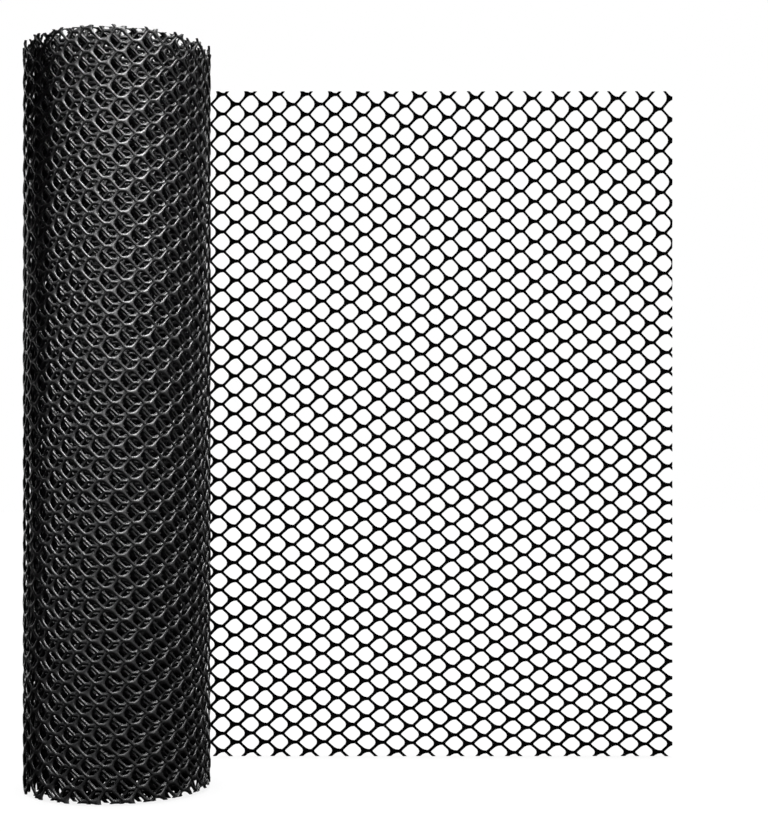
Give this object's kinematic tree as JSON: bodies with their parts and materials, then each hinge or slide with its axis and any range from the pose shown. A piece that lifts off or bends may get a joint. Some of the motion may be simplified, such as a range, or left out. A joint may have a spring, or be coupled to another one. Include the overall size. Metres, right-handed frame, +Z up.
{
  "type": "roll of plastic poultry netting",
  "caption": "Upright hollow roll of black plastic hexagonal netting with its free end led round the back and drawn out flat, for pens, runs and plant guards.",
  "frame": {"origin": "middle of the netting's ground box, on the surface that the roll and its free end stand on", "axes": "+Z up along the roll's axis and the net's width; the roll's front faces -Y; the free end runs behind the roll and out towards +X"},
  "size_m": [0.369, 0.1428, 0.4],
  "materials": {
    "black_plastic": "satin extruded polyethylene"
  },
  "bodies": {
    "root": {"roll": "black_plastic", "loose_end": "black_plastic"}
  },
  "joints": []
}
